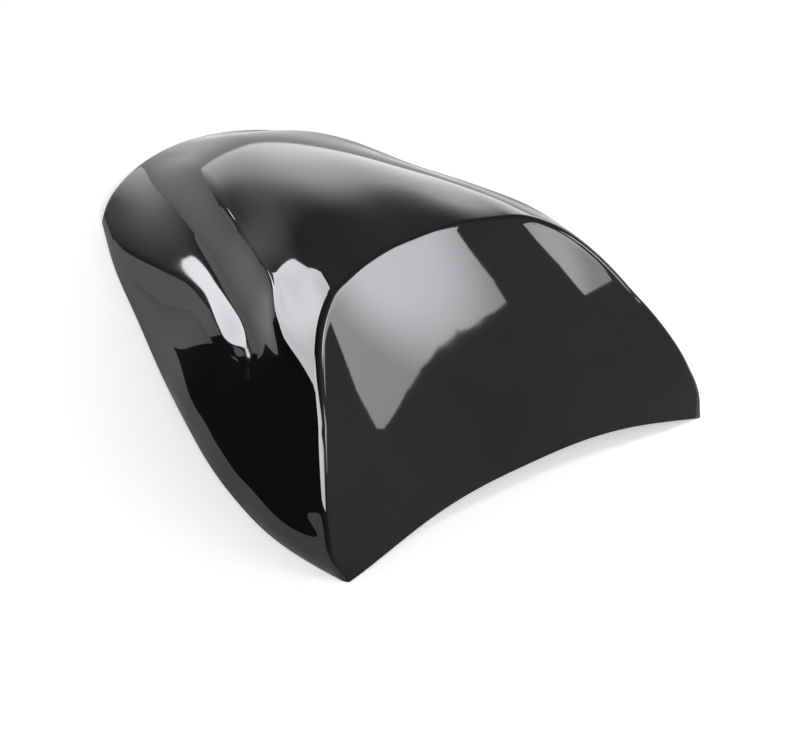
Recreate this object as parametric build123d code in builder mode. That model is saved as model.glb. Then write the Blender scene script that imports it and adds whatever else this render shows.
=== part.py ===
from build123d import *
import os

import numpy as np

# Seat cowl: one moulded shell that closes the pillion place of a motorbike.
# Millimetres. X runs across and the form is mirrored about x = 0. The rider's face looks to -Y, the tail
# points to +Y, and the rim stands on z = 0. Stations count along Y from the two front corners.

# Overall form
LENGTH = 358.0  # front corners to the end of the tail
WALL = 3.0
RIDGE_RADIUS = 4.0  # rounding where the face meets the crown and the flanks
TAIL_EDGE_RADIUS = 2.5
TAIL_RADIUS = 95.0  # of the tail's arc in plan, which also cuts the two rear corners

# Rider's face: straight up and down, bowed forward along its foot and hollow across its head
CORNER_X = 110.0
FACE_FOOT_BOW = 22.8  # middle of the foot line in front of the corners
FACE_HEAD_HEIGHT = 95.0
FACE_HEAD_SETBACK = 106.5  # middle of the head line behind the corners
FACE_HEAD_HOLLOW = 50.0  # the head line at the corners' x, in front of its middle

# Arch that lifts the front rim between the corners
ARCH_HALF = 108.0
ARCH_RISE = 19.0
ARCH_FULLNESS = 2.6  # 2 is a parabola, more is a flatter top
ARCH_DEPTH = 20.0  # from the corners to past the inside of the face

# Screw bosses under the shell, for M6 screws from below
BOSS_RADIUS = 7.0
BOSS_SEAT = 14.0  # height of the seats above the rim
SCREW_RADIUS = 2.5
SCREW_DEPTH = 16.0
FRONT_BOSS_X = 88.0
FRONT_BOSS_STATION = 70.0
REAR_BOSS_X = 48.0
REAR_BOSS_SETBACK = 90.0  # in front of the end of the tail

# Half sections of the outer form, each after its place along the length: 0 at the corners, 1 at the tail.
# From the middle outwards they hold the (x, z) of the spine, the crown, its shoulder and brow, the valley,
# the wing's crest and side, the head and foot of the shelf under it, the flank, its swell and the rim.
# The first and the last lie past the cowl's ends, where the face and the tail are cut.
SECTIONS = (
    (-0.034, (0, 95), (32, 95.5), (54, 95), (67, 91), (80.5, 80), (85.5, 73.7),
     (92.5, 62), (97.5, 51.5), (101, 40), (104.5, 20), (105.8, 4.5), (105, 0)),
    (0.126, (0, 95), (32, 95.5), (54, 95), (67, 91.6), (82.2, 79.8), (86.7, 74.3),
     (94.5, 61), (101, 49.4), (107.3, 37.8), (116.8, 20.2), (123.7, 4.8), (123.5, 0)),
    (0.223, (0, 94.6), (32, 95), (53, 94.7), (65, 93), (78.8, 83.2), (83.2, 78.3),
     (89.8, 66), (96.4, 54), (102.6, 42.8), (114, 22), (124, 4.8), (125.5, 0)),
    (0.271, (0, 95), (31.3, 95.1), (49.5, 94.5), (61, 92.5), (77.3, 82.2), (81.7, 78.5),
     (88, 66), (94.8, 53.8), (100.3, 44), (112.8, 22.6), (123.2, 4.8), (124.8, 0)),
    (0.321, (0, 95.3), (30, 95.1), (46, 93.7), (57.8, 91), (71.9, 82.6), (76, 80.4),
     (82, 69), (89.6, 54.8), (95, 48.6), (109.6, 24.2), (121.4, 4.8), (122.9, 0)),
    (0.366, (0, 95.2), (28, 94.6), (42.5, 92.5), (53.3, 89.4), (65.3, 82.9), (68.9, 81),
     (76.4, 68.1), (85.6, 52.9), (91.2, 47.6), (107.1, 24.2), (118.9, 4.7), (120.4, 0)),
    (0.419, (0, 94.5), (25, 93.6), (38.5, 90.8), (48.3, 87), (60, 80.3), (63.3, 78.6),
     (71.6, 65.2), (82, 50.2), (87.6, 45.5), (104.5, 23.6), (116, 4.5), (117, 0)),
    (0.531, (0, 88.5), (20, 87), (32, 83.4), (40.5, 78.8), (50, 72.7), (53, 71.1),
     (62, 58.7), (72.8, 44.8), (78.6, 40), (95.7, 20.8), (107.1, 4), (109, 0)),
    (0.656, (0, 75), (15, 73.8), (25, 71.1), (33, 68.1), (40.2, 65.3), (43, 64),
     (52.3, 51.8), (63.3, 37.9), (69.3, 33), (85.8, 17.9), (96.5, 3.6), (98.5, 0)),
    (0.796, (0, 54), (11, 52.6), (18, 51), (24.5, 49.2), (30, 47.4), (32.5, 46.3),
     (41.8, 37.8), (52.5, 27.3), (59, 22.8), (75.2, 12.3), (85, 2.6), (86.5, 0)),
    (0.922, (0, 26.5), (11, 25), (18, 23.3), (23, 21.7), (27.5, 20.2), (29.8, 19.3),
     (37, 16.2), (46, 12.5), (51.8, 10.5), (63.5, 6.4), (70.4, 1.6), (71.5, 0)),
    (1.02, (0, 4), (10, 3.8), (17.5, 3.5), (22.5, 3.2), (27, 2.9), (29.8, 2.7),
     (36, 2.2), (44, 1.5), (49, 1.1), (56, 0.6), (60.5, 0.2), (62, 0)),
)
# Place of those twelve points along a half section, and of one more on a skirt below the rim, which is cut off
SECTION_KNOTS = np.array((0, 0.15, 0.25, 0.325, 0.407, 0.435, 0.52, 0.64, 0.685, 0.84, 0.965, 1, 1.04))
RIB_COUNT = 26  # evenly spaced sections that the forms are lofted through

BEYOND = 150.0  # how far the cutting bodies reach past the cowl
CUT_MARGIN = 14.0  # how far the face's cutting body reaches below the rim and above the head


def face_station(x, height):
    """Station of the rider's face at a place across and a height."""
    across = (x / CORNER_X) ** 2
    foot = -FACE_FOOT_BOW * (1 - across)
    head = FACE_HEAD_SETBACK - FACE_HEAD_HOLLOW * across
    return foot + (head - foot) * height / FACE_HEAD_HEIGHT


arch_x = np.linspace(-ARCH_HALF, ARCH_HALF, 25)
arch_z = ARCH_RISE * (1 - np.abs(arch_x / ARCH_HALF) ** ARCH_FULLNESS)

# The origin is in the middle of the whole length, with what the foot of the face reaches past the corners
FRONT_Y = -(LENGTH + face_station(arch_x, arch_z).min()) / 2
TAIL_Y = FRONT_Y + LENGTH
BOSS_PLACES = [
    (side * x, FRONT_Y + station)
    for x, station in ((FRONT_BOSS_X, FRONT_BOSS_STATION), (REAR_BOSS_X, LENGTH - REAR_BOSS_SETBACK))
    for side in (-1, 1)
]


def spline_weights(knots, places):
    """Rows of weights that carry values at the knots to the places, along a natural cubic spline."""
    gaps = np.diff(knots)
    count = len(knots)
    bends = np.eye(count)
    pulls = np.zeros((count, count))
    for k in range(1, count - 1):
        bends[k, k - 1 : k + 2] = gaps[k - 1], 2 * (gaps[k - 1] + gaps[k]), gaps[k]
        pulls[k, k - 1 : k + 2] = 6 / gaps[k - 1], -6 / gaps[k - 1] - 6 / gaps[k], 6 / gaps[k]
    curvature = np.linalg.solve(bends, pulls)
    span = np.clip(np.searchsorted(knots, places) - 1, 0, count - 2)
    gap = gaps[span][:, None]
    after = (places - knots[span])[:, None] / gap
    before = 1 - after
    unit = np.eye(count)
    straight = before * unit[span] + after * unit[span + 1]
    bent = (before**3 - before) * curvature[span] + (after**3 - after) * curvature[span + 1]
    return straight + bent * gap**2 / 6


def ribs():
    """Even stations along the cowl and, for each, the (x, z) of its section's points from rim to rim."""
    stations = np.array([section[0] for section in SECTIONS]) * LENGTH
    halves = np.array([section[1:] for section in SECTIONS], float)
    swell, rim = halves[:, -2:-1], halves[:, -1:]
    last_gaps = np.diff(SECTION_KNOTS[-3:])
    skirt = rim + (rim - swell) * last_gaps[1] / last_gaps[0]
    halves = np.concatenate([halves, skirt], axis=1)
    whole = np.concatenate([halves[:, :0:-1] * (-1, 1), halves], axis=1)
    even = np.linspace(stations[0], stations[-1], RIB_COUNT)
    return even, np.einsum("rs,skc->rkc", spline_weights(stations, even), whole)


def inset(stations, sections, depth):
    """The sections moved inwards in their own planes, so that the wall is as thick as depth across the skin."""
    along = np.gradient(sections, stations, axis=0)
    across = np.gradient(sections, axis=1)
    out_x, out_z = -across[..., 1], across[..., 0]
    slope = -(out_x * along[..., 0] + out_z * along[..., 1])
    flat = np.hypot(out_x, out_z)
    reach = depth * np.hypot(1, slope / flat)
    return sections - np.stack([out_x, out_z], axis=-1) * (reach / flat)[..., None]


def face_line(height, depth):
    """The line across the rider's face at one height, or across a surface at a depth behind it."""
    x = np.linspace(-BEYOND, BEYOND, 9)
    rake = (face_station(x, FACE_HEAD_HEIGHT) - face_station(x, 0)) / FACE_HEAD_HEIGHT
    y = FRONT_Y + face_station(x, height) + depth * np.hypot(1, rake)
    return Edge.make_spline(list(zip(x.tolist(), y.tolist())), parameters=x.tolist())


def trimmed_form(stations, sections, depth):
    """A solid lofted through the sections and cut off at the face and the tail, at a depth inside both."""
    knots = np.concatenate([-SECTION_KNOTS[:0:-1], SECTION_KNOTS]).tolist()
    with BuildPart() as face_cut:
        for height in (-CUT_MARGIN, FACE_HEAD_HEIGHT + CUT_MARGIN):
            with BuildSketch(Plane.XY.offset(height)):
                with BuildLine():
                    line = face_line(height, depth)
                    add(line)
                    Polyline(line @ 1, (BEYOND, FRONT_Y - BEYOND), (-BEYOND, FRONT_Y - BEYOND), line @ 0)
                make_face()
        loft(ruled=True)
    with BuildPart() as tail_room:
        with BuildSketch(Plane.XY.offset(-BEYOND)):
            with Locations((0, TAIL_Y - TAIL_RADIUS)):
                Circle(TAIL_RADIUS - depth)
                Rectangle(2 * BEYOND, LENGTH + BEYOND, align=(Align.CENTER, Align.MAX))
        extrude(amount=2 * BEYOND)
    with BuildPart() as form:
        for station, section in zip(stations.tolist(), sections.tolist()):
            with BuildSketch(Plane.XZ.offset(-FRONT_Y - station)):
                with BuildLine():
                    skin = Edge.make_spline([tuple(point) for point in section], parameters=knots)
                    add(skin)
                    Line(skin @ 1, skin @ 0)
                make_face()
        loft()
        add(face_cut.part, mode=Mode.SUBTRACT)
        add(tail_room.part, mode=Mode.INTERSECT)
        split(bisect_by=Plane.XY, keep=Keep.TOP)
    return form.part


rib_stations, rib_sections = ribs()
outer_blank = trimmed_form(rib_stations, rib_sections, 0)
inner_form = trimmed_form(rib_stations, inset(rib_stations, rib_sections, WALL), WALL)

with BuildPart() as outer_form:
    add(outer_blank)
    tail_wall = outer_form.faces().filter_by(GeomType.CYLINDER)[0]
    fillet(tail_wall.edges().sort_by(Axis.Z)[-1], TAIL_EDGE_RADIUS)
    fillet(outer_form.edges().sort_by(Axis.Z)[-1], RIDGE_RADIUS)

with BuildPart() as bosses:
    with BuildSketch(Plane.XY.offset(BOSS_SEAT)):
        with Locations(*BOSS_PLACES):
            Circle(BOSS_RADIUS)
    extrude(amount=FACE_HEAD_HEIGHT)
    add(outer_form.part, mode=Mode.INTERSECT)

with BuildPart() as cowl_shell:
    add(outer_form.part)
    add(inner_form, mode=Mode.SUBTRACT)
    with BuildSketch(Plane.XZ.offset(-FRONT_Y - ARCH_DEPTH)):
        with BuildLine():
            arch = Spline(*zip(arch_x.tolist(), arch_z.tolist()))
            Line(arch @ 1, arch @ 0)
        make_face()
    extrude(amount=BEYOND, mode=Mode.SUBTRACT)
    add(bosses.part)
    with BuildSketch(Plane.XY.offset(BOSS_SEAT)):
        with Locations(*BOSS_PLACES):
            Circle(SCREW_RADIUS)
    extrude(amount=SCREW_DEPTH, mode=Mode.SUBTRACT)

os.makedirs("parts", exist_ok=True)
cowl_shell.part.label = "cowl_shell"
export_step(cowl_shell.part, "parts/cowl_shell.step")
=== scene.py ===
import bmesh
import bpy
import numpy as np
from mathutils import Matrix


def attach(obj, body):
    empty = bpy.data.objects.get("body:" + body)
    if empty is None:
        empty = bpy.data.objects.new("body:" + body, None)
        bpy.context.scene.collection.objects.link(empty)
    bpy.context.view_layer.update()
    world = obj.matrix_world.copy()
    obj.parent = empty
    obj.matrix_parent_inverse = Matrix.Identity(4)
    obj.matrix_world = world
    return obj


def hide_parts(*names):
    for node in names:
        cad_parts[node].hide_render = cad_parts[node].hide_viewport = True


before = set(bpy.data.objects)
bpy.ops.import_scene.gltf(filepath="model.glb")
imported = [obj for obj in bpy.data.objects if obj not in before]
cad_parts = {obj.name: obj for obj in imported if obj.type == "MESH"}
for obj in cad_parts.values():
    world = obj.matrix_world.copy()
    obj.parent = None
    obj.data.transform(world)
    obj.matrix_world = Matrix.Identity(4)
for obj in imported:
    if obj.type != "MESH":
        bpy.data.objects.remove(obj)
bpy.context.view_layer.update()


# The cowl is one moulded shell of ABS, 3 mm thick and open below, with screw bosses moulded on its inside.
# The outside is painted black and lacquered, and the inside is left as it comes out of the mould.
# Its form is worked out in millimetres, with stations counted back from the two front corners.
LENGTH, WALL = 358.0, 3.0
RIDGE_RADIUS, TAIL_EDGE_RADIUS, TAIL_RADIUS = 4.0, 2.5, 95.0
CORNER_X, FACE_FOOT_BOW = 110.0, 22.8
FACE_HEAD_HEIGHT, FACE_HEAD_SETBACK, FACE_HEAD_HOLLOW = 95.0, 106.5, 50.0
ARCH_HALF, ARCH_RISE, ARCH_FULLNESS = 108.0, 19.0, 2.6

# Each section is a station, as a share of the length, and (x, z) of twelve points from the crown to the rim.
SECTIONS = (
    (-0.034, (0, 95), (32, 95.5), (54, 95), (67, 91), (80.5, 80), (85.5, 73.7),
     (92.5, 62), (97.5, 51.5), (101, 40), (104.5, 20), (105.8, 4.5), (105, 0)),
    (0.126, (0, 95), (32, 95.5), (54, 95), (67, 91.6), (82.2, 79.8), (86.7, 74.3),
     (94.5, 61), (101, 49.4), (107.3, 37.8), (116.8, 20.2), (123.7, 4.8), (123.5, 0)),
    (0.223, (0, 94.6), (32, 95), (53, 94.7), (65, 93), (78.8, 83.2), (83.2, 78.3),
     (89.8, 66), (96.4, 54), (102.6, 42.8), (114, 22), (124, 4.8), (125.5, 0)),
    (0.271, (0, 95), (31.3, 95.1), (49.5, 94.5), (61, 92.5), (77.3, 82.2), (81.7, 78.5),
     (88, 66), (94.8, 53.8), (100.3, 44), (112.8, 22.6), (123.2, 4.8), (124.8, 0)),
    (0.321, (0, 95.3), (30, 95.1), (46, 93.7), (57.8, 91), (71.9, 82.6), (76, 80.4),
     (82, 69), (89.6, 54.8), (95, 48.6), (109.6, 24.2), (121.4, 4.8), (122.9, 0)),
    (0.366, (0, 95.2), (28, 94.6), (42.5, 92.5), (53.3, 89.4), (65.3, 82.9), (68.9, 81),
     (76.4, 68.1), (85.6, 52.9), (91.2, 47.6), (107.1, 24.2), (118.9, 4.7), (120.4, 0)),
    (0.419, (0, 94.5), (25, 93.6), (38.5, 90.8), (48.3, 87), (60, 80.3), (63.3, 78.6),
     (71.6, 65.2), (82, 50.2), (87.6, 45.5), (104.5, 23.6), (116, 4.5), (117, 0)),
    (0.531, (0, 88.5), (20, 87), (32, 83.4), (40.5, 78.8), (50, 72.7), (53, 71.1),
     (62, 58.7), (72.8, 44.8), (78.6, 40), (95.7, 20.8), (107.1, 4), (109, 0)),
    (0.656, (0, 75), (15, 73.8), (25, 71.1), (33, 68.1), (40.2, 65.3), (43, 64),
     (52.3, 51.8), (63.3, 37.9), (69.3, 33), (85.8, 17.9), (96.5, 3.6), (98.5, 0)),
    (0.796, (0, 54), (11, 52.6), (18, 51), (24.5, 49.2), (30, 47.4), (32.5, 46.3),
     (41.8, 37.8), (52.5, 27.3), (59, 22.8), (75.2, 12.3), (85, 2.6), (86.5, 0)),
    (0.922, (0, 26.5), (11, 25), (18, 23.3), (23, 21.7), (27.5, 20.2), (29.8, 19.3),
     (37, 16.2), (46, 12.5), (51.8, 10.5), (63.5, 6.4), (70.4, 1.6), (71.5, 0)),
    (1.02, (0, 4), (10, 3.8), (17.5, 3.5), (22.5, 3.2), (27, 2.9), (29.8, 2.7),
     (36, 2.2), (44, 1.5), (49, 1.1), (56, 0.6), (60.5, 0.2), (62, 0)),
)
# The places of those points along a half section, and of one more on a skirt below the rim.
SECTION_KNOTS = np.array((0, 0.15, 0.25, 0.325, 0.407, 0.435, 0.52, 0.64, 0.685, 0.84, 0.965, 1, 1.04))
COLUMNS, FACE_ROWS, ARC_ROWS, HULL_ROWS, TAIL_ROWS, WALL_ROWS = 217, 46, 11, 140, 7, 3


def spline_weights(knots, places):
    """Rows of weights that carry values at the knots to the places, along a natural cubic spline: the second
    derivatives at the knots solve a three-banded system and are nought at both ends."""
    gaps = np.diff(knots)
    count = len(knots)
    between = np.arange(1, count - 1)
    bends, pulls = np.eye(count), np.zeros((count, count))
    bends[between, between - 1] = gaps[:-1]
    bends[between, between] = 2 * (gaps[:-1] + gaps[1:])
    bends[between, between + 1] = gaps[1:]
    pulls[between, between - 1] = 6 / gaps[:-1]
    pulls[between, between + 1] = 6 / gaps[1:]
    pulls[between, between] = -pulls[between, between - 1] - pulls[between, between + 1]
    curvature = np.linalg.solve(bends, pulls)
    span = np.clip(np.searchsorted(knots, places) - 1, 0, count - 2)
    gap = gaps[span][:, None]
    after = (places - knots[span])[:, None] / gap
    before = 1 - after
    own = np.eye(count)
    bent = (before**3 - before) * curvature[span] + (after**3 - after) * curvature[span + 1]
    return before * own[span] + after * own[span + 1] + bent * gap**2 / 6


def face_station(x, z):
    """The station of the rider's face: at each x it runs straight from a foot that is bowed forward to a head
    that is hollowed back, and both go with x squared."""
    across = (x / CORNER_X) ** 2
    foot = -FACE_FOOT_BOW * (1 - across)
    head = FACE_HEAD_SETBACK - FACE_HEAD_HOLLOW * across
    return foot + (head - foot) * z / FACE_HEAD_HEIGHT


def arch_height(x):
    """The front rim's arch: its rise less a power of the distance from the middle."""
    return ARCH_RISE * (1 - np.abs(x / ARCH_HALF) ** ARCH_FULLNESS)


# The half sections get a skirt, in line with their last two points, and are mirrored. Each column of the hull
# then keeps its own place across all of them.
section_stations = np.array([section[0] for section in SECTIONS]) * LENGTH
halves = np.array([section[1:] for section in SECTIONS], float)
last_gaps = np.diff(SECTION_KNOTS[-3:])
skirt = halves[:, -1:] + (halves[:, -1:] - halves[:, -2:-1]) * last_gaps[1] / last_gaps[0]
halves = np.concatenate([halves, skirt], axis=1)
across_knots = np.concatenate([-SECTION_KNOTS[:0:-1], SECTION_KNOTS])
column_nets = np.einsum(
    "nk,skc->nsc",
    spline_weights(across_knots, np.linspace(-1, 1, COLUMNS)),
    np.concatenate([halves[:, :0:-1] * (-1, 1), halves], axis=1),
)


def hull(stations):
    """Points of the hull, a column for each place across: x and z follow a spline through the sections."""
    weights = spline_weights(section_stations, stations.ravel()).reshape(*stations.shape, -1)
    x, z = np.moveaxis(np.einsum("nms,nsc->nmc", weights, column_nets), -1, 0)
    return np.stack([x, stations, z], axis=-1)


def behind_face(points):
    """How far points lie behind the rider's face, along the cowl."""
    return points[..., 1] - face_station(points[..., 0], points[..., 2])


def behind_tail(points):
    """How far points lie behind the tail, which is an arc in plan with its middle on the middle line."""
    bow = np.sqrt(np.maximum(TAIL_RADIUS**2 - points[..., 0] ** 2, 0))
    return points[..., 1] - LENGTH + TAIL_RADIUS - bow


HALVINGS = 40


def where_crossed(start, end, behind):
    """The station in each column where behind turns from below to above nought, by halving the interval."""
    low, high = np.full((COLUMNS, 1), start), np.full((COLUMNS, 1), end)
    for _ in range(HALVINGS):
        middle = (low + high) / 2
        below = behind(hull(middle)) < 0
        low, high = np.where(below, middle, low), np.where(below, high, middle)
    return middle


def unit(vectors):
    """Vectors divided by their own lengths."""
    return vectors / np.maximum(np.linalg.norm(vectors, axis=-1, keepdims=True), 1e-9)


def rounding(edge, away_before, away_after, radius, room_before, room_after, rows):
    """A round edge for each column: a circular arc, as a weighted quadratic curve, that leaves the line
    before the edge and joins the line after it, both at radius times the tangent of half the angle turned."""
    along = unit(np.gradient(edge, axis=0))
    square_before = np.linalg.norm(np.cross(along, away_before), axis=-1)
    square_after = np.linalg.norm(np.cross(along, away_after), axis=-1)
    flat_before = unit(away_before - along * (along * away_before).sum(-1, keepdims=True))
    flat_after = unit(away_after - along * (along * away_after).sum(-1, keepdims=True))
    turn = np.arccos(np.clip(-(flat_before * flat_after).sum(-1), -1, 1))
    setback = radius * np.tan(turn / 2)
    setback = np.minimum(setback, np.minimum(room_before * square_before, room_after * square_after))
    reach_before, reach_after = setback / square_before, setback / square_after
    t = np.linspace(0, 1, rows)[None, :, None]
    weight = np.cos(turn / 2)[:, None, None]
    start = (edge + away_before * reach_before[:, None])[:, None]
    end = (edge + away_after * reach_after[:, None])[:, None]
    parts = (1 - t) ** 2, 2 * weight * t * (1 - t), t**2
    arc = (parts[0] * start + parts[1] * edge[:, None] + parts[2] * end) / sum(parts)
    return arc, reach_before, reach_after


# The ridge is looked for before one share of the length, and the tail's edge after another.
RIDGE_BEFORE, TAIL_AFTER, TAIL_MARGIN = 0.6, 0.7, 1.0
# How evenly the columns stand along the arch: they are closer in the middle than at the corners.
FOOT_EVENNESS = 0.6
# The most that a rounding may take: shares of the face and of the tail's wall, and millimetres of the hull.
# Slopes are taken over a small step.
FACE_ROOM, TAIL_WALL_ROOM, RIDGE_HULL_ROOM, TAIL_HULL_ROOM = 0.8, 0.6, 30.0, 9.0
SMALL_STEP, LEAST_WALL = 1e-3, 0.01


def outer_skin():
    """Columns that run from the arch up the face, round the ridge, along the hull, round the tail's edge and
    down the tail's wall to the rim."""
    ridge_station = where_crossed(section_stations[0], RIDGE_BEFORE * LENGTH, behind_face)
    tail_station = where_crossed(TAIL_AFTER * LENGTH, section_stations[-1] - TAIL_MARGIN, behind_tail)
    ridge, tail = hull(ridge_station)[:, 0], hull(tail_station)[:, 0]
    ridge[[0, -1], 2] = 0
    ridge_length = np.concatenate([[0], np.cumsum(np.linalg.norm(np.diff(ridge, axis=0), axis=1))])
    outward = 2 * ridge_length / ridge_length[-1] - 1
    foot_x = ARCH_HALF * outward * (FOOT_EVENNESS + (1 - FOOT_EVENNESS) * np.abs(outward))
    foot = np.stack([foot_x, arch_height(foot_x)], axis=-1)

    def face(share):
        """Points of the face at a share of the way from the arch to the ridge, straight in x and in z."""
        x = foot[:, :1] + (ridge[:, :1] - foot[:, :1]) * share
        z = foot[:, 1:] + (ridge[:, 2:] - foot[:, 1:]) * share
        return np.stack([x, face_station(x, z), z], axis=-1)

    one = np.ones((COLUMNS, 1))
    down_face = (face(one - SMALL_STEP) - face(one))[:, 0] / SMALL_STEP
    face_length = np.linalg.norm(down_face, axis=-1)
    back_hull = (hull(ridge_station + SMALL_STEP) - hull(ridge_station))[:, 0] / SMALL_STEP
    ridge_room = FACE_ROOM * face_length, one[:, 0] * RIDGE_HULL_ROOM
    ridge_arc, face_cut, hull_cut = rounding(
        ridge, unit(down_face), unit(back_hull), RIDGE_RADIUS, *ridge_room, ARC_ROWS
    )
    up_hull = (hull(tail_station - SMALL_STEP) - hull(tail_station))[:, 0] / SMALL_STEP
    tail_room = one[:, 0] * TAIL_HULL_ROOM, TAIL_WALL_ROOM * np.maximum(tail[:, 2], LEAST_WALL)
    tail_arc, hull_end_cut, _ = rounding(
        tail, unit(up_hull), one * (0, 0, -1), TAIL_EDGE_RADIUS, *tail_room, TAIL_ROWS
    )
    face_rows = face(np.linspace(0, 1, FACE_ROWS)[None] * (1 - face_cut / face_length)[:, None])
    start = ridge_station + (hull_cut / np.linalg.norm(back_hull, axis=-1))[:, None]
    end = tail_station - (hull_end_cut / np.linalg.norm(up_hull, axis=-1))[:, None]
    hull_rows = hull(start + (end - start) * np.linspace(0, 1, HULL_ROWS)[None])
    plumb = np.ones(WALL_ROWS)
    wall_rows = tail_arc[:, -1:] * np.stack([plumb, plumb, np.linspace(1, 0, WALL_ROWS)], axis=-1)
    skin = np.concatenate([face_rows, ridge_arc[:, 1:-1], hull_rows, tail_arc[:, 1:-1], wall_rows], axis=1)
    skin[[0, -1], :, 2] = 0
    return skin


def grid_faces(first, columns, rows, turned):
    """The quads of a grid of points that are numbered column by column."""
    corner = first + np.arange(columns - 1)[:, None] * rows + np.arange(rows - 1)
    quads = np.stack([corner, corner + rows, corner + rows + 1, corner + 1], axis=-1).reshape(-1, 4)
    return quads[:, ::-1] if turned else quads


# The inside lies one wall in from the outside, along its normals. Towards the foot of the face it slides back
# up the rake, so that the two edges of the arch are level.
outer = outer_skin()
rows = outer.shape[1]
normals = unit(np.cross(np.gradient(outer, axis=0), np.gradient(outer, axis=1)))
normals[[0, -1]] = normals[[1, -2]]
inner = outer - WALL * normals
rake = (face_station(outer[..., 0], FACE_HEAD_HEIGHT) - face_station(outer[..., 0], 0)) / FACE_HEAD_HEIGHT
slide = np.clip(1 - np.arange(rows) / FACE_ROWS, 0, 1) * WALL * rake / np.hypot(1, rake)
inner += slide[..., None] * np.stack([np.zeros_like(rake), rake, np.ones_like(rake)], axis=-1)
inner[..., 2] = np.maximum(inner[..., 2], 0)

# The rim closes the two skins all round. Each of its two edges is a quadratic curve that leaves the skin just
# above the edge and joins the flat of the rim, as far as the quads beside it and the wall leave room.
RIM_ROUNDING, RIM_STEPS, QUAD_ROOM, WALL_ROOM = 0.7, 5, 0.5, 0.4
skin_points = COLUMNS * rows
grid = np.arange(skin_points).reshape(COLUMNS, rows)
loop = np.concatenate([grid[:-1, 0], grid[-1, :-1], grid[:0:-1, -1], grid[0, :0:-1]])
within = np.concatenate([grid[:-1, 1], grid[-2, :-1], grid[:0:-1, -2], grid[1, :0:-1]])
skins = np.stack([outer.reshape(-1, 3), inner.reshape(-1, 3)])
edges = skins[:, loop]
up_skin, over_rim = skins[:, within] - edges, edges[::-1] - edges
quad_length, rim_width = (np.linalg.norm(v, axis=-1, keepdims=True) for v in (up_skin, over_rim))
rim_room = np.minimum(QUAD_ROOM * quad_length.min(axis=0), WALL_ROOM * rim_width[0])
reach = np.minimum(RIM_ROUNDING, rim_room)
lifted, flat = edges + reach * unit(up_skin), edges + reach * unit(over_rim)
t = np.linspace(0, 1, RIM_STEPS)[:, None, None, None]
round_edges = (1 - t) ** 2 * lifted + 2 * t * (1 - t) * edges + t**2 * flat
rim = np.concatenate([round_edges[:, 0], round_edges[::-1, 1]])
rim = np.concatenate([rim, rim[:, :1]], axis=1).transpose(1, 0, 2)
skins[:, loop] = lifted
outer, inner = skins.reshape(2, COLUMNS, rows, 3)

# The four screw bosses, posts under the roof with a blind core hole in each seat.
# Each is a profile turned about its own upright line, from the end of the hole round the two edges of the
# seat and up to the roof, and its top ends inside the thickness of the roof.
BOSS_RADIUS, BOSS_SEAT, SCREW_RADIUS, SCREW_DEPTH, BOSS_EDGE = 7.0, 14.0, 2.5, 16.0, 0.6
FRONT_BOSS_X, FRONT_BOSS_STATION, REAR_BOSS_X, REAR_BOSS_SETBACK = 88.0, 70.0, 48.0, 90.0
RING_STEPS, BOSS_EDGE_STEPS, ROOF_STEP, ROOF_DEPTH = 49, 4, 3, 0.5 * WALL
boss_x = np.array([-FRONT_BOSS_X, FRONT_BOSS_X, -REAR_BOSS_X, REAR_BOSS_X])
boss_station = np.repeat([FRONT_BOSS_STATION, LENGTH - REAR_BOSS_SETBACK], 2)
ring = np.linspace(0, 2 * np.pi, RING_STEPS)
bend = np.linspace(0, np.pi / 2, BOSS_EDGE_STEPS)
bend_in, bend_up = BOSS_EDGE * (1 - np.sin(bend)), BOSS_EDGE * (1 - np.cos(bend))
hole_edge, post_edge = SCREW_RADIUS + bend_up, BOSS_RADIUS - bend_up[::-1]
profile_r = np.concatenate([[SCREW_RADIUS], hole_edge, post_edge, [BOSS_RADIUS]])
profile_z = BOSS_SEAT + np.concatenate([[SCREW_DEPTH], bend_in, bend_in[::-1], [SCREW_DEPTH]])
bosses = np.stack(
    np.broadcast_arrays(
        boss_x[:, None, None] + profile_r * np.cos(ring)[:, None],
        boss_station[:, None, None] + profile_r * np.sin(ring)[:, None],
        profile_z,
    ),
    axis=-1,
)
roof = inner[:, FACE_ROWS:].reshape(-1, 3)[::ROOF_STEP]
top = bosses[:, :, -1, :2].reshape(-1, 1, 2)
nearest = np.argmin(((roof[None, :, :2] - top) ** 2).sum(-1), axis=1)
bosses[:, :, -1, 2] = roof[nearest, 2].reshape(len(bosses), -1) + ROOF_DEPTH
boss_points = 2 * skin_points + np.arange(bosses[..., 0].size).reshape(bosses.shape[:3])
boss_faces = np.concatenate([grid_faces(boss[0, 0], *boss.shape, False) for boss in boss_points])
boss_ends = [*boss_points[:, -2::-1, 0].tolist(), *boss_points[:, :-1, -1].tolist()]

# The origin is in the middle of the whole length, with what the arch reaches in front of the corners. Points
# that meet, as at the rim and where a ring closes, are welded, and faces that have no area are taken out.
MILLIMETRE, ARCH_STEPS, WELD = 0.001, 25, 2e-5
arch_x = np.linspace(-ARCH_HALF, ARCH_HALF, ARCH_STEPS)
front_y = -(LENGTH + face_station(arch_x, arch_height(arch_x)).min()) / 2
points = np.concatenate([part.reshape(-1, 3) for part in (outer, inner, bosses, rim)]) + (0, front_y, 0)
outer_faces, inner_faces = grid_faces(0, COLUMNS, rows, False), grid_faces(skin_points, COLUMNS, rows, True)
rim_faces = grid_faces(boss_points.max() + 1, *rim.shape[:2], True)
faces = np.concatenate([outer_faces, rim_faces, inner_faces, boss_faces])
mesh = bpy.data.meshes.new("cowl_skin")
mesh.from_pydata(points * MILLIMETRE, [], faces.tolist() + boss_ends)
mesh.polygons.foreach_set("use_smooth", np.ones(len(mesh.polygons), bool))
painted = len(outer_faces) + len(rim_faces)
mesh.polygons.foreach_set("material_index", (np.arange(len(mesh.polygons)) >= painted).astype(np.int32))
welded = bmesh.new()
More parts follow.
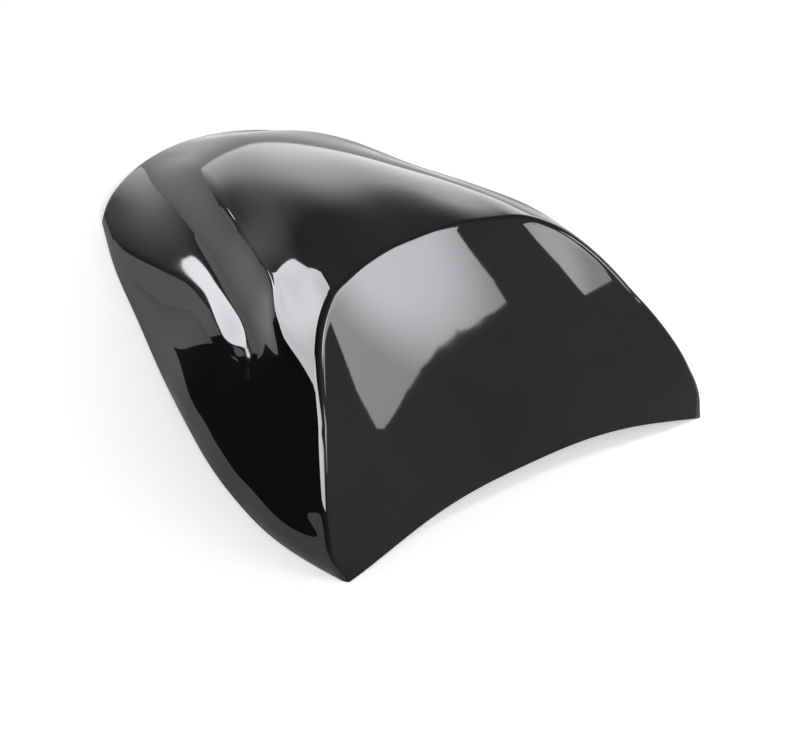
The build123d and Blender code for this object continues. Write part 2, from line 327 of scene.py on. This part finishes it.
welded.from_mesh(mesh)
bmesh.ops.remove_doubles(welded, verts=welded.verts, dist=WELD)
bmesh.ops.dissolve_degenerate(welded, edges=welded.edges, dist=WELD)
welded.to_mesh(mesh)
welded.free()
cowl = bpy.data.objects.new("cowl_skin", mesh)
bpy.context.scene.collection.objects.link(cowl)


class Wire:
    """A socket in a node tree. Arithmetic on it adds Math nodes, and node adds any other."""

    def __init__(self, tree, socket=None):
        self.tree, self.socket = tree, socket

    def node(self, kind, settings=None, sockets=None, out=0):
        """Adds a node, makes its settings, fills its sockets with values or links, and gives one output."""
        made = self.tree.nodes.new(kind)
        for name, value in (settings or {}).items():
            setattr(made, name, value)
        for name, value in (sockets or {}).items():
            if isinstance(value, Wire):
                self.tree.links.new(value.socket, made.inputs[name])
            else:
                made.inputs[name].default_value = value
        return Wire(self.tree, made.outputs[out] if len(made.outputs) else None)

    def beside(self, name):
        """Another output of the node that this socket is on."""
        return Wire(self.tree, self.socket.node.outputs[name])

    def between(self, dark, pale):
        """A colour on the way from dark to pale. A Mix node has its colours on inputs 6 and 7, output 2."""
        colours = {0: self, 6: (*dark, 1), 7: (*pale, 1)}
        return self.node("ShaderNodeMix", {"data_type": "RGBA"}, colours, 2)

    def maths(self, operation, a, b):
        """One Math node on two values or sockets."""
        return self.node("ShaderNodeMath", {"operation": operation}, {0: a, 1: b})

    def __add__(self, other):
        return self.maths("ADD", self, other)

    def __mul__(self, other):
        return self.maths("MULTIPLY", self, other)

    def __sub__(self, other):
        return self.maths("SUBTRACT", self, other)

    def __rsub__(self, other):
        return self.maths("SUBTRACT", other, self)

    def __truediv__(self, other):
        return self.maths("DIVIDE", self, other)

    def __rtruediv__(self, other):
        return self.maths("DIVIDE", other, self)

    __radd__, __rmul__ = __add__, __mul__


def new_material(name):
    """A material with an empty node tree, and a wire to start it from."""
    material = bpy.data.materials.new(name)
    material.use_nodes = True
    material.node_tree.nodes.clear()
    return material, Wire(material.node_tree)


# Black paint under lacquer: nearly a mirror, with a faint orange peel and a little haze.
LACQUER_DARK, LACQUER_PALE = (0.008, 0.008, 0.0085), (0.014, 0.014, 0.0145)
LACQUER_ROUGHNESS, HAZE_ROUGHNESS = 0.02, 0.03
paint, w = new_material("black_lacquer")
place = w.node("ShaderNodeTexCoord", out="Object")
peel = w.node("ShaderNodeTexNoise", None, {"Vector": place, "Scale": 260.0, "Detail": 1.0})
haze = w.node("ShaderNodeTexNoise", None, {"Vector": place, "Scale": 35.0, "Detail": 3.0})
shader = w.node(
    "ShaderNodeBsdfPrincipled",
    None,
    {
        "Base Color": haze.between(LACQUER_DARK, LACQUER_PALE),
        "Roughness": LACQUER_ROUGHNESS + haze * HAZE_ROUGHNESS,
        "IOR": 1.5,
        "Normal": w.node("ShaderNodeBump", None, {"Height": peel, "Strength": 0.002, "Distance": 0.001}),
    },
)
w.node("ShaderNodeOutputMaterial", None, {"Surface": shader})

# Bare ABS: satin, with the fine grain of the mould.
ABS_DARK, ABS_PALE = (0.016, 0.016, 0.017), (0.024, 0.024, 0.025)
ABS_ROUGHNESS, GRAIN_ROUGHNESS = 0.42, 0.1
bare, w = new_material("bare_abs")
place = w.node("ShaderNodeTexCoord", out="Object")
grain = w.node("ShaderNodeTexNoise", None, {"Vector": place, "Scale": 900.0, "Detail": 2.0})
shader = w.node(
    "ShaderNodeBsdfPrincipled",
    None,
    {
        "Base Color": grain.between(ABS_DARK, ABS_PALE),
        "Roughness": ABS_ROUGHNESS + grain * GRAIN_ROUGHNESS,
        "Normal": w.node("ShaderNodeBump", None, {"Height": grain, "Strength": 0.15, "Distance": 0.0003}),
    },
)
w.node("ShaderNodeOutputMaterial", None, {"Surface": shader})
mesh.materials.append(paint)
mesh.materials.append(bare)
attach(cowl, "root")
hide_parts("cowl_shell")


# The studio floor, a sheet of white paper that the cowl stands on, with a notch cut into it from the left.
# It glows a little, so that the camera sees it white, and far from the cowl it fades out, except to the left.
FLOOR_REACH = 1.6
FLOOR_NOTCH = (-0.922, FLOOR_REACH, 0), (-0.157, 0.131, 0), (-0.977, -FLOOR_REACH, 0)
FLOOR_GREY, GLOW_SEEN, GLOW_MIRRORED = 0.9, 0.54, 0.33
FADE_DISTANCE, FADE_SIDE = (0.7, 1.5), (-0.27, -0.1)


def ramp(value, before, after, kind="LINEAR"):
    """Carries a value from one range to another and stays at the ends of it."""
    ends = dict(zip(("From Min", "From Max", "To Min", "To Max"), (*before, *after)))
    return value.node("ShaderNodeMapRange", {"interpolation_type": kind}, {"Value": value, **ends})


floor_corners = [(FLOOR_REACH, -FLOOR_REACH, 0), (FLOOR_REACH, FLOOR_REACH, 0), *FLOOR_NOTCH]
floor_mesh = bpy.data.meshes.new("studio_floor")
floor_mesh.from_pydata(floor_corners, [], [range(len(floor_corners))])
floor = bpy.data.objects.new("studio_floor", floor_mesh)
bpy.context.scene.collection.objects.link(floor)
white, w = new_material("white_paper")
place = w.node("ShaderNodeTexCoord", out="Object")
side = w.node("ShaderNodeSeparateXYZ", None, {"Vector": place}, "X")
far = w.node("ShaderNodeVectorMath", {"operation": "LENGTH"}, {0: place}, "Value")
fade = ramp(far, FADE_DISTANCE, (0, 1), "SMOOTHSTEP") * ramp(side / far, FADE_SIDE, (0, 1))
seen = w.node("ShaderNodeLightPath", out="Is Camera Ray")
mirrored = seen.beside("Is Glossy Ray") + seen.beside("Is Transmission Ray")
strength = seen * GLOW_SEEN + mirrored * GLOW_MIRRORED
glow = w.node("ShaderNodeEmission", None, {"Color": (1, 1, 1, 1), "Strength": strength})
matt = w.node("ShaderNodeBsdfDiffuse", None, {"Color": (FLOOR_GREY, FLOOR_GREY, FLOOR_GREY, 1)})
both = w.node("ShaderNodeAddShader", None, {0: matt, 1: glow})
clear = w.node("ShaderNodeBsdfTransparent")
faded = w.node("ShaderNodeMixShader", None, {0: fade, 1: both, 2: clear})
w.node("ShaderNodeOutputMaterial", None, {"Surface": faded})
floor_mesh.materials.append(white)

# The room, white where the camera looks at it but dark to the lacquer, which would turn grey in a white room.
# Only its low back wall is bright, more so to the right, and some light comes from the front.
# The ranges are parts of a direction: to the right (side), to the back and up.
WALL_SIDE, WALL_BACK, WALL_LEVEL, WALL_TOP_LEVEL = (-0.33, 0.6), (0.0, 0.5), (0.0, 3.4), (1.0, 0.05)
TOP_SIDE, TOP_START, TOP_END = (0.0, 0.6), (0.05, 0.42), (0.45, 0.66)
FRONT_BACK, FRONT_LEVEL, FRONT_SIDE, FRONT_SHARE = (-0.6, 0.2), (0.5, 0.1), (-0.6, 0.0), (0.3, 1.0)
world = bpy.data.worlds.new("room")
bpy.context.scene.world = world
world.use_nodes = True
world.node_tree.nodes.clear()
w = Wire(world.node_tree)
way = w.node("ShaderNodeTexCoord", out="Generated")
side = w.node("ShaderNodeSeparateXYZ", None, {"Vector": way}, "X")
back, up = side.beside("Y"), side.beside("Z")
back_wall = ramp(side, WALL_SIDE, WALL_LEVEL) * ramp(back, WALL_BACK, (0, 1))
wall_top = ramp(side, TOP_SIDE, TOP_START), ramp(side, TOP_SIDE, TOP_END)
front = ramp(back, FRONT_BACK, FRONT_LEVEL) * ramp(side, FRONT_SIDE, FRONT_SHARE)
seen = w.node("ShaderNodeLightPath", out="Is Camera Ray")
room = back_wall * ramp(up, wall_top, WALL_TOP_LEVEL, "SMOOTHSTEP") + front
sky = w.node("ShaderNodeBackground", None, {"Color": (1, 1, 1, 1), "Strength": seen + (1 - seen) * room})
w.node("ShaderNodeOutputWorld", None, {"Surface": sky})

# The lamps are soft boxes, flat cards of glowing cloth that hang round the cowl, unseen by the camera.
# The lacquer mirrors most of them as pale forms, and their outlines are cut so that the edges of those forms
# fall where the photograph has them.
CARD_AIM, CARD_WHITE, CARD_DISTANCE = (0, 0, 0.05), (0.96, 0.97, 1, 1), 1.3
BAND_RANGE, ALONG_BAND = (0.034, 0.18), 0.25


def card(name, corners, band, hot, edge, distance=CARD_DISTANCE, lights=True):
    """A flat glowing card at a distance in metres from the cowl's middle and facing it. Its corners, and the
    ends of the band where it glows most, are seen from there at an azimuth, 0 in front and 90 to the right,
    and an elevation in degrees. The glow falls from hot to edge by the distance from the middle of the band,
    of which only a quarter counts along the band."""
    turn, lift = np.radians([*band, *corners]).T
    ways = np.stack([np.sin(turn) * np.cos(lift), -np.cos(turn) * np.cos(lift), np.sin(lift)], axis=-1)
    places = distance * ways / (ways @ unit(ways.mean(axis=0)))[:, None] + CARD_AIM
    card_mesh = bpy.data.meshes.new(name)
    card_mesh.from_pydata(places[len(band):], [], [range(len(corners))])
    cloth, w = new_material(name)
    place = w.node("ShaderNodeTexCoord", out="Object")
    middle, axis = tuple(places[:2].mean(axis=0)), tuple(unit(places[1] - places[0]))
    off = w.node("ShaderNodeVectorMath", {"operation": "SUBTRACT"}, {0: place, 1: middle})
    along = w.node("ShaderNodeVectorMath", {"operation": "DOT_PRODUCT"}, {0: off, 1: axis}, "Value")
    sockets = {0: axis, 1: along * (ALONG_BAND - 1), 2: off}
    away = w.node("ShaderNodeVectorMath", {"operation": "MULTIPLY_ADD"}, sockets)
    distance_away = w.node("ShaderNodeVectorMath", {"operation": "LENGTH"}, {0: away}, "Value")
    glow = ramp(distance_away, BAND_RANGE, (hot, edge), "SMOOTHSTEP")
    shader = w.node("ShaderNodeEmission", None, {"Color": CARD_WHITE, "Strength": glow})
    w.node("ShaderNodeOutputMaterial", None, {"Surface": shader})
    card_mesh.materials.append(cloth)
    holder = bpy.data.objects.new(name, card_mesh)
    bpy.context.scene.collection.objects.link(holder)
    holder.visible_camera, holder.visible_diffuse = False, lights


# The large form on the face, beside the near ridge
card(
    "card_right",
    [(29, 53.5), (30.5, 51.5), (36.7, 51), (41.8, 49.6), (44.2, 47.5), (44.7, 45.1), (43.4, 42.1),
     (40.8, 39.3), (38.8, 36.8), (39.5, 35.2), (50, 31.4), (66, 26), (70, 28), (64, 40.5), (54, 51.5),
     (40, 57.5), (29, 58.5)],
    [(62, 41), (42, 55)], 12.6, 5.7,
)
# The small form at the top of the face, on the far side
card(
    "card_front", [(-0.5, 53.5), (6.6, 47.5), (13.1, 42.9), (-0.2, 34.7), (-9, 36), (-11, 51)],
    [(-11, 48.5), (9, 47)], 8.4, 5.2,
)
# The bright line down the near ridge
card(
    "card_left", [(-46, 46), (-46, 24), (-90, 10), (-112, 6), (-126, 5), (-126, 24), (-100, 36)],
    [(-60, 32), (-120, 12)], 15, 12, lights=False,
)
# The two white forms on the near flank, on either side of the grey band
card(
    "card_back",
    [(-125, 15), (-126, 1.5), (-137, 1.5), (-143, 6.5), (-150, 5.4), (-157, 5.4), (-160, 5.8), (-161, 6.2),
     (-162.4, 6.8), (-163, 7.4), (-163.4, 17), (-168.7, 18.8), (-177, 29.8), (-190, 36.3), (-190, 41),
     (-170, 38), (-152, 32), (-135, 27)],
    [(-130, 15), (-175, 33)], 11, 9, lights=False,
)
# A board low at the back that glows dimly of itself, for the grey round the rear one of them
card(
    "glowing_board_left", [(-151, -2.2), (-160.8, -2.2), (-160.8, 0.5), (-158.5, 4.2), (-151, 4.5)],
    [(-151, 0), (-160, 0)], 0.9, 0.9, lights=False,
)
# A small flag close to the face, which keeps a spot of light off its foot; it glows faintly of itself, so
# that the lacquer mirrors it grey, not black
card(
    "glowing_flag_right", [(27, 17.5), (31.5, 17.5), (31.5, 25.5), (27, 25.5)],
    [(27, 21), (31, 21)], 0.5, 0.5, 0.35, lights=False,
)

# The camera, at the photograph's viewing angle: a long lens from above the near front corner.
# Its place is given in metres from the middle between the two front corners.
CAMERA_AZIMUTH, CAMERA_ELEVATION, CAMERA_PLACE = -33.263, 40.4, (-0.4926, -0.6315, 0.7646)
SENSOR_WIDTH, FOCAL_LENGTH = 36.0, 99.0
turn, lift = np.radians([CAMERA_AZIMUTH, CAMERA_ELEVATION])
to_right = np.array([np.cos(turn), np.sin(turn), 0])
to_camera = np.array([np.sin(turn) * np.cos(lift), -np.cos(turn) * np.cos(lift), np.sin(lift)])
camera_place = np.array(CAMERA_PLACE) + (0, front_y * MILLIMETRE, 0)
columns = np.column_stack([to_right, np.cross(to_camera, to_right), to_camera, camera_place])
lens = bpy.data.cameras.new("camera")
lens.sensor_fit, lens.sensor_width, lens.lens = "HORIZONTAL", SENSOR_WIDTH, FOCAL_LENGTH
camera = bpy.data.objects.new("camera", lens)
bpy.context.scene.collection.objects.link(camera)
camera.matrix_world = Matrix(np.vstack([columns, [0, 0, 0, 1]]).tolist())
bpy.context.scene.camera = camera
bpy.context.scene.view_settings.view_transform = "Standard"
